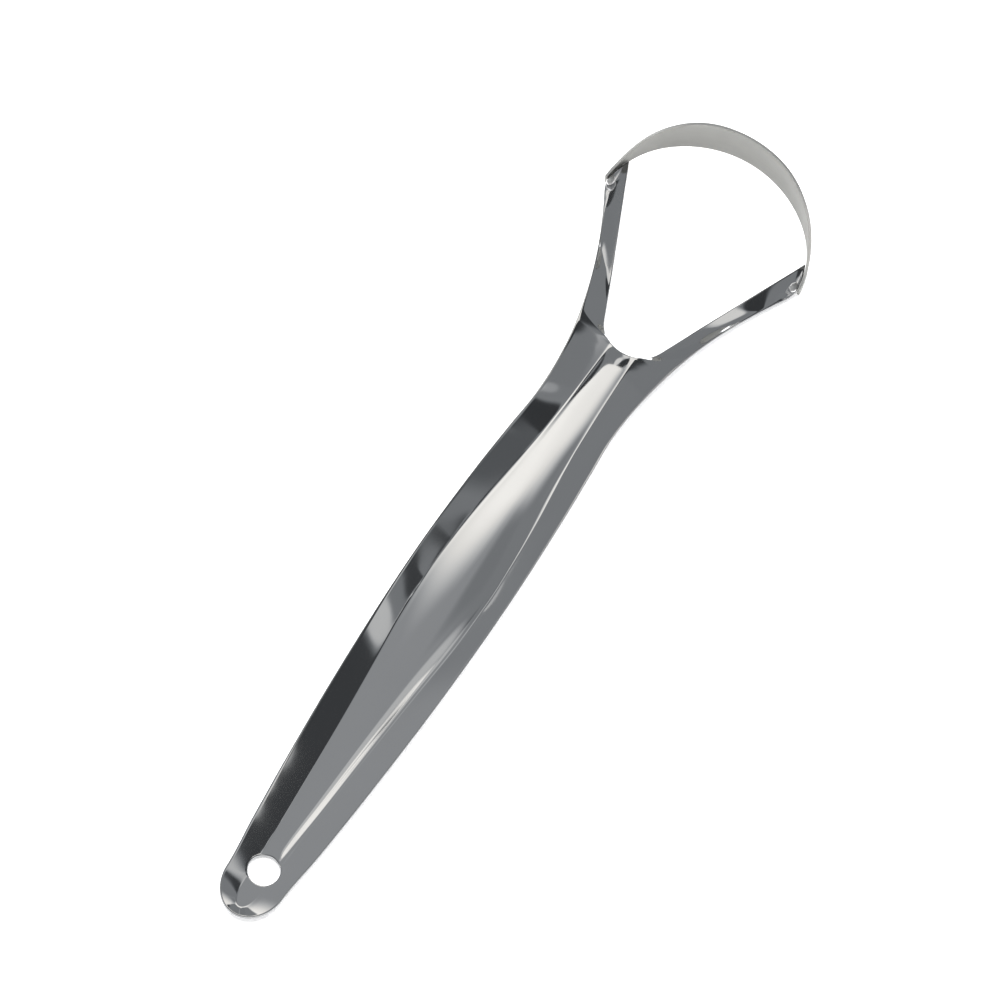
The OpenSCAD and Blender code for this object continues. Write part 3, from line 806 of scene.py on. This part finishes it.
def band_tree(material):
    """The band's middle sheet: a net whose columns follow the loop's three arcs and whose rows rise
    from the ends to the top. Sizes are in millimetres and radians."""
    t, given = group_with("scraping_band_strip", [
        "Shoulder Radius", "Shoulder Offset", "Shoulder Run", "Top Radius", "Top Drop", "Top Start",
        "Half Run", "Wrap", "Height", "Tilt", "Place", "Lift"])
    net = node(t, "GeometryNodeMeshGrid", {"Size X": 1.0, "Size Y": 1.0, "Vertices X": BAND_COLUMNS,
               "Vertices Y": BAND_ROWS})
    at = node(t, "ShaderNodeSeparateXYZ", {"Vector": node(t, "GeometryNodeInputPosition")}).outputs

    # Way from an end of the band (0) to its top (1), and the same in millimetres
    across = node(t, MATH, (at["X"], 2.0), operation="MULTIPLY")
    away = node(t, MATH, (across,), operation="ABSOLUTE")
    way = node(t, MATH, (1.0, away), operation="SUBTRACT")
    run = node(t, MATH, (way, given["Half Run"]), operation="MULTIPLY")

    # Arc about a shoulder's centre
    turn = node(t, MATH, (run, given["Shoulder Radius"]), operation="DIVIDE")
    turn = node(t, MATH, (turn, given["Wrap"]), operation="SUBTRACT")
    shoulder_x, shoulder_y = on_circle(t, turn, given["Shoulder Radius"])
    shoulder_x = node(t, MATH, (shoulder_x, given["Shoulder Offset"]), operation="ADD")

    # Flatter arc over the top
    over = node(t, MATH, (run, given["Shoulder Run"]), operation="SUBTRACT")
    turn = node(t, MATH, (over, given["Top Radius"]), operation="DIVIDE")
    turn = node(t, MATH, (turn, given["Top Start"]), operation="ADD")
    top_x, top_y = on_circle(t, turn, given["Top Radius"])
    top_y = node(t, MATH, (top_y, given["Top Drop"]), operation="SUBTRACT")

    beyond = node(t, MATH, (over, 0.0), operation="GREATER_THAN")
    x = node(t, "ShaderNodeMix", {"Factor": beyond, 2: shoulder_x, 3: top_x}, data_type="FLOAT")
    y = node(t, "ShaderNodeMix", {"Factor": beyond, 2: shoulder_y, 3: top_y}, data_type="FLOAT")
    side = node(t, MATH, (at["X"],), operation="SIGN")
    x = node(t, MATH, (side, x), operation="MULTIPLY")

    # Height of the rows
    rise = node(t, "ShaderNodeFloatCurve", {"Value": way})
    points = rise.mapping.curves[0].points
    for _ in BAND_RISE[2:]:
        points.new(0.5, 0.5)
    for point, (along, up) in zip(points, BAND_RISE):
        point.location = (along, up)
        point.handle_type = "AUTO"
    rise.mapping.update()
    z = node(t, MATH, (at["Y"], 0.5), operation="ADD")
    z = node(t, MATH, (z, given["Height"]), operation="MULTIPLY")
    z = node(t, MATH, (z, rise), operation="MULTIPLY")

    place = node(t, "ShaderNodeCombineXYZ", {"X": x, "Y": y, "Z": z})
    bent = node(t, "GeometryNodeSetPosition", {"Geometry": net, "Position": place})
    lean = node(t, "ShaderNodeCombineXYZ", {"X": given["Tilt"]})
    shift = node(t, "ShaderNodeCombineXYZ", {"Y": given["Place"], "Z": given["Lift"]})
    stood = node(t, "GeometryNodeTransform", {"Geometry": bent, "Rotation": lean, "Translation": shift})
    end_tree(t, stood, material)
    return t


def bead_tree(material):
    """Two weld beads, one at each arm's end: a flattened ball with a rippled skin, in millimetres."""
    t, given = group_with("weld_bead_pair", [
        "Width", "Length", "Thickness", "Reach", "Place", "Height", "Turn", "Ripple"])
    ball = node(t, "GeometryNodeMeshUVSphere", {"Segments": 48, "Rings": 28, "Radius": 0.5})
    skin = node(t, "ShaderNodeTexNoise", {"Scale": 2.6, "Detail": 2.0})
    swell = node(t, MATH, (skin, 0.5), operation="SUBTRACT")
    swell = node(t, MATH, (swell, given["Ripple"]), operation="MULTIPLY")
    outward_way = node(t, "GeometryNodeInputNormal")
    push = node(t, "ShaderNodeVectorMath", {0: outward_way, "Scale": swell}, operation="SCALE")
    rippled = node(t, "GeometryNodeSetPosition", {"Geometry": ball, "Offset": push})

    # The first bead stands at the right. A step across leads to the left one
    start = node(t, "ShaderNodeCombineXYZ", {"X": given["Reach"], "Y": given["Place"], "Z": given["Height"]})
    across = node(t, MATH, (given["Reach"], -2.0), operation="MULTIPLY")
    step = node(t, "ShaderNodeCombineXYZ", {"X": across})
    pair = node(t, "GeometryNodeMeshLine", {"Count": 2, "Start Location": start, "Offset": step})

    # Right bead turned one way (1), left bead the other (-1)
    number = node(t, "GeometryNodeInputIndex")
    side = node(t, MATH, (number, 2.0), operation="MULTIPLY")
    side = node(t, MATH, (1.0, side), operation="SUBTRACT")
    turn = node(t, MATH, (given["Turn"], side), operation="MULTIPLY")
    turn = node(t, "ShaderNodeCombineXYZ", {"Z": turn})
    size = node(t, "ShaderNodeCombineXYZ", {"X": given["Width"], "Y": given["Length"],
                "Z": given["Thickness"]})
    beads = node(t, "GeometryNodeInstanceOnPoints", {"Points": pair, "Instance": rippled,
                 "Rotation": turn, "Scale": size})
    end_tree(t, beads, material)
    return t


class ScraperHandle(bpy.types.Operator):
    """Builds the pressed handle with its rounded rims, hanging hole, spine, flanges, fork and arms"""

    bl_idname = "tongue_scraper.handle"
    bl_label = "Pressed handle"

    def execute(self, context):
        s = shape_sizes(context.scene)
        points, faces, cut = handle_mesh(s)
        mesh = bpy.data.meshes.new("pressed_handle")
        mesh.from_pydata(points.tolist(), [], faces.tolist())
        # Share of rim rounding at each point: the sheet's material makes these rims rougher and paints them
        # darker as painted shade.
        mesh.attributes.new("cut_edge", "FLOAT", "POINT").data.foreach_set("value", cut.astype(np.float32))
        outward(mesh)
        material = polished_stainless(context.scene.scraper_finishes.polished)
        finished(mesh, material, "handle")
        return {"FINISHED"}


class ScraperBand(bpy.types.Operator):
    """Builds the thin scraping band on edge round the fork's mouth"""

    bl_idname = "tongue_scraper.band"
    bl_label = "Scraping band"

    def execute(self, context):
        s = shape_sizes(context.scene)
        material = satin_stainless(context.scene.scraper_finishes.satin)
        shoulder, top = s.loop_r - s.band_t / 2, s.top_r - s.band_t / 2
        shoulder_run = shoulder * (pi / 2 - s.top_turn + s.band_wrap)
        sizes = {"Shoulder Radius": shoulder, "Shoulder Offset": s.loop_x, "Shoulder Run": shoulder_run,
                 "Top Radius": top, "Top Drop": s.top_drop, "Top Start": pi / 2 - s.top_turn,
                 "Half Run": shoulder_run + top * s.top_turn, "Wrap": s.band_wrap, "Height": s.band_h,
                 "Tilt": s.loop_tilt, "Place": s.loop_y - s.middle_y, "Lift": s.loop_lift}
        mesh = baked(band_tree(material), sizes, [
            ("SOLIDIFY", {"thickness": s.band_t, "offset": 0.0, "use_even_offset": True}),
            ("BEVEL", {"width": s.band_rim, "segments": 3, "limit_method": "ANGLE",
                       "angle_limit": radians(50)})])
        mesh.name = "scraping_strip"
        outward(mesh)
        # The long edges face up or down, the strip's two broad sides hardly do. The strip's material paints
        # these edges paler, as a painted highlight.
        edge = [min(1.0, max(0.0, 2.5 * abs(v.normal.z) - 1.0)) for v in mesh.vertices]
        mesh.attributes.new("cut_edge", "FLOAT", "POINT").data.foreach_set("value", edge)
        finished(mesh, material, "scraping_band")
        return {"FINISHED"}


class ScraperBeads(bpy.types.Operator):
    """Builds the two weld beads that join the band to the arms' ends"""

    bl_idname = "tongue_scraper.beads"
    bl_label = "Weld beads"

    def execute(self, context):
        s = shape_sizes(context.scene)
        material = weld_metal(context.scene.scraper_finishes.weld)
        low, high = [Vector(c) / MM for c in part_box("weld_beads")]
        # The ripples and the turn stay inside the solids' box
        width = s.bead_w * 0.92
        sizes = {"Width": width, "Length": s.bead_l * 0.96, "Thickness": width * s.bead_flat,
                 "Reach": high.x - s.bead_w / 2, "Place": (low.y + high.y) / 2,
                 "Height": (low.z + high.z) / 2, "Turn": s.bead_turn, "Ripple": s.bead_ripple}
        mesh = baked(bead_tree(material), sizes)
        mesh.name = "weld_spots"
        outward(mesh)
        finished(mesh, material, "weld_beads")
        return {"FINISHED"}


TABLE_SIZE = 2.0
TABLE_GAP = 0.02 * MM
ROOM_LIGHT = 0.6
LAMP_PLACE = (-0.15, 0.1, 0.7)
PICTURE = 1000
SENSOR = 36


def white_room(scene, backdrop):
    """World that the camera and mirrors see as plain white, and that lights the object more softly."""
    world = bpy.data.worlds.new("white_room")
    scene.world = world
    world.use_nodes = True
    t = world.node_tree
    t.nodes.clear()
    level = node(t, "ShaderNodeMapRange", {"Value": seen_rays(t), "To Min": ROOM_LIGHT, "To Max": 1.0})
    glow = node(t, "ShaderNodeBackground", {"Color": darker(backdrop), "Strength": level})
    node(t, "ShaderNodeOutputWorld", {"Surface": glow})


def meshed(name, make, **settings):
    """A mesh made by one bmesh operator."""
    work = bmesh.new()
    make(work, **settings)
    mesh = bpy.data.meshes.new(name)
    work.to_mesh(mesh)
    work.free()
    return mesh


def staged(mesh, material):
    mesh.materials.append(material)
    return linked(mesh.name, mesh)


def only_mirrored(thing):
    """Hides a thing from all rays but those of mirrors."""
    thing.visible_camera = thing.visible_diffuse = False
    thing.visible_shadow = thing.visible_transmission = False


def set_camera(scene, studio):
    """Sets the camera out from the aim, then turns it until the aim lies where the picture has it."""
    turn, rise, roll = studio.turn, studio.rise, studio.roll
    ahead = -Vector((sin(turn) * cos(rise), -cos(turn) * cos(rise), sin(rise)))
    right = ahead.cross(Vector((0, 0, 1))).normalized()
    down = ahead.cross(right)
    right, down = cos(roll) * right + sin(roll) * down, cos(roll) * down - sin(roll) * right
    place = Vector((0, studio.aim_y, 0)) - ahead * studio.distance
    focal = studio.pixel_scale * studio.distance / MM
    off_x, off_y = (studio.aim_across - 0.5) * PICTURE, (studio.aim_down - 0.5) * PICTURE
    ahead = (ahead * focal - right * off_x - down * off_y).normalized()
    right = (right - ahead * right.dot(ahead)).normalized()
    down = ahead.cross(right)
    lens = bpy.data.cameras.new("camera")
    lens.sensor_width = SENSOR
    lens.lens = focal * SENSOR / PICTURE
    lens.clip_start = 10 * MM
    camera = linked("camera", lens)
    turned = Matrix((right, -down, -ahead)).transposed().to_4x4()
    camera.matrix_world = Matrix.Translation(place) @ turned
    scene.camera = camera


class ScraperStudio(bpy.types.Operator):
    """Sets up the white table, the light tent, the card, the lamp and the camera"""

    bl_idname = "tongue_scraper.studio"
    bl_label = "Studio"

    def execute(self, context):
        scene = context.scene
        finishes, studio = scene.scraper_finishes, scene.scraper_studio
        scene.view_settings.view_transform = "Standard"
        white_room(scene, finishes.backdrop)

        under = Matrix.Translation((0, 0, cad_box[0][2] - TABLE_GAP))
        table = meshed("table_top", bmesh.ops.create_grid, x_segments=4, y_segments=4, size=TABLE_SIZE,
                       matrix=under)
        table_top = staged(table, matt_white(finishes.floor))
        cloth = meshed("light_tent", bmesh.ops.create_uvsphere, u_segments=64, v_segments=32,
                       radius=studio.tent_radius)
        tent = staged(cloth, light_tent())
        only_mirrored(tent)

        board = bpy.data.meshes.new("arm_card")
        board.from_pydata([(x * MM, y * MM, 0) for x, y in CARD_SIDES], [], [(0, 1, 2, 3)])
        card = staged(board, grey_card())
        card.location = [c * MM for c in CARD_CENTRE]
        card.rotation_euler = (radians(CARD_TURN), 0, 0)
        only_mirrored(card)

        softbox = bpy.data.lights.new("overhead_softbox", "AREA")
        softbox.shape = "DISK"
        softbox.size = studio.lamp_size
        softbox.energy = studio.lamp_power
        lamp = linked("overhead_softbox", softbox)
        lamp.location = LAMP_PLACE
        lamp.rotation_euler = (-Vector(LAMP_PLACE)).to_track_quat("-Z", "Y").to_euler()
        lamp.visible_glossy = False
        set_camera(scene, studio)
        return {"FINISHED"}


class ScraperPanel(bpy.types.Panel):
    """Lists the scraper's sizes and the steps that build it"""

    bl_idname = "VIEW3D_PT_tongue_scraper"
    bl_label = "Tongue Scraper"
    bl_space_type = "VIEW_3D"
    bl_region_type = "UI"
    bl_category = "Tongue Scraper"

    def draw(self, context):
        for title, name, operators in PANEL_ROWS:
            box = self.layout.box()
            box.label(text=title)
            group = getattr(context.scene, name)
            for key in group.bl_rna.properties.keys():
                if key not in ("rna_type", "name"):
                    box.prop(group, key)
            for operator in operators:
                box.operator(operator)


GROUPS = {"scraper_handle": HandleSizes, "scraper_loop": LoopSizes, "scraper_finishes": Finishes,
          "scraper_studio": StudioSizes}
PANEL_ROWS = [
    ("Handle", "scraper_handle", ["tongue_scraper.handle"]),
    ("Loop", "scraper_loop", ["tongue_scraper.band", "tongue_scraper.beads"]),
    ("Finishes", "scraper_finishes", []),
    ("Studio", "scraper_studio", ["tongue_scraper.studio"]),
]
CLASSES = [*GROUPS.values(), ScraperHandle, ScraperBand, ScraperBeads, ScraperStudio, ScraperPanel]


def register():
    for cls in CLASSES:
        bpy.utils.register_class(cls)
    for name, group in GROUPS.items():
        setattr(bpy.types.Scene, name, PointerProperty(type=group))


def unregister():
    for name in GROUPS:
        delattr(bpy.types.Scene, name)
    for cls in reversed(CLASSES):
        bpy.utils.unregister_class(cls)


def main():
    register()
    bpy.ops.tongue_scraper.handle()
    bpy.ops.tongue_scraper.band()
    bpy.ops.tongue_scraper.beads()
    bpy.ops.tongue_scraper.studio()


if __name__ == "__main__":
    main()
